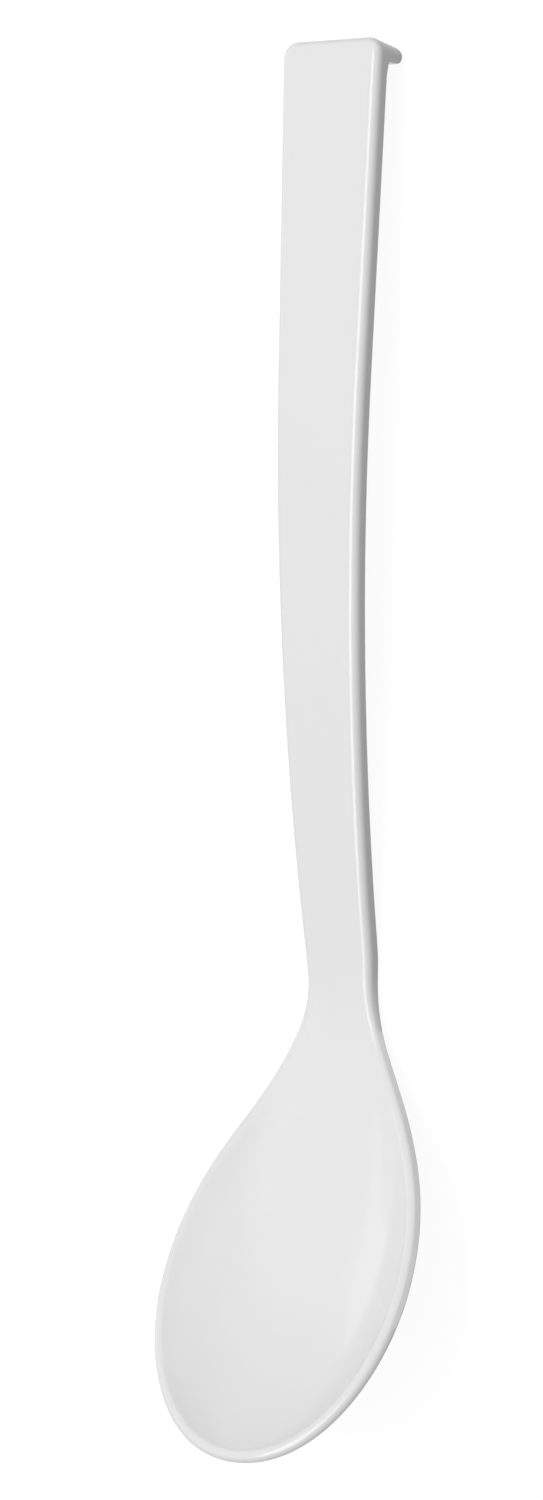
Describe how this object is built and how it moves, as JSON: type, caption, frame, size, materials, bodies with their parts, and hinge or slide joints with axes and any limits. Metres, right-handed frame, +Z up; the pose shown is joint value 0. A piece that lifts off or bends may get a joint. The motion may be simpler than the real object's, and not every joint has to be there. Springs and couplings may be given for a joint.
{
  "type": "salad spoon",
  "caption": "White moulded salad spoon: an egg-shaped bowl turned up from a narrow neck, a long gently bowed flat handle that widens to its end, and a small hook behind the end.",
  "frame": {"origin": "on the table, under the middle of the spoon's length and width, as the spoon lies at rest with its bowl upwards", "axes": "+Y along the spoon from the bowl's tip to the handle's end, +Z up from the table, X across the spoon, whose halves mirror each other in the plane x = 0"},
  "size_m": [0.0632, 0.3008, 0.0402],
  "materials": {
    "white_plastic": "smooth and glossy, opaque white"
  },
  "bodies": {
    "root": {"spoon": "white_plastic"}
  },
  "joints": []
}
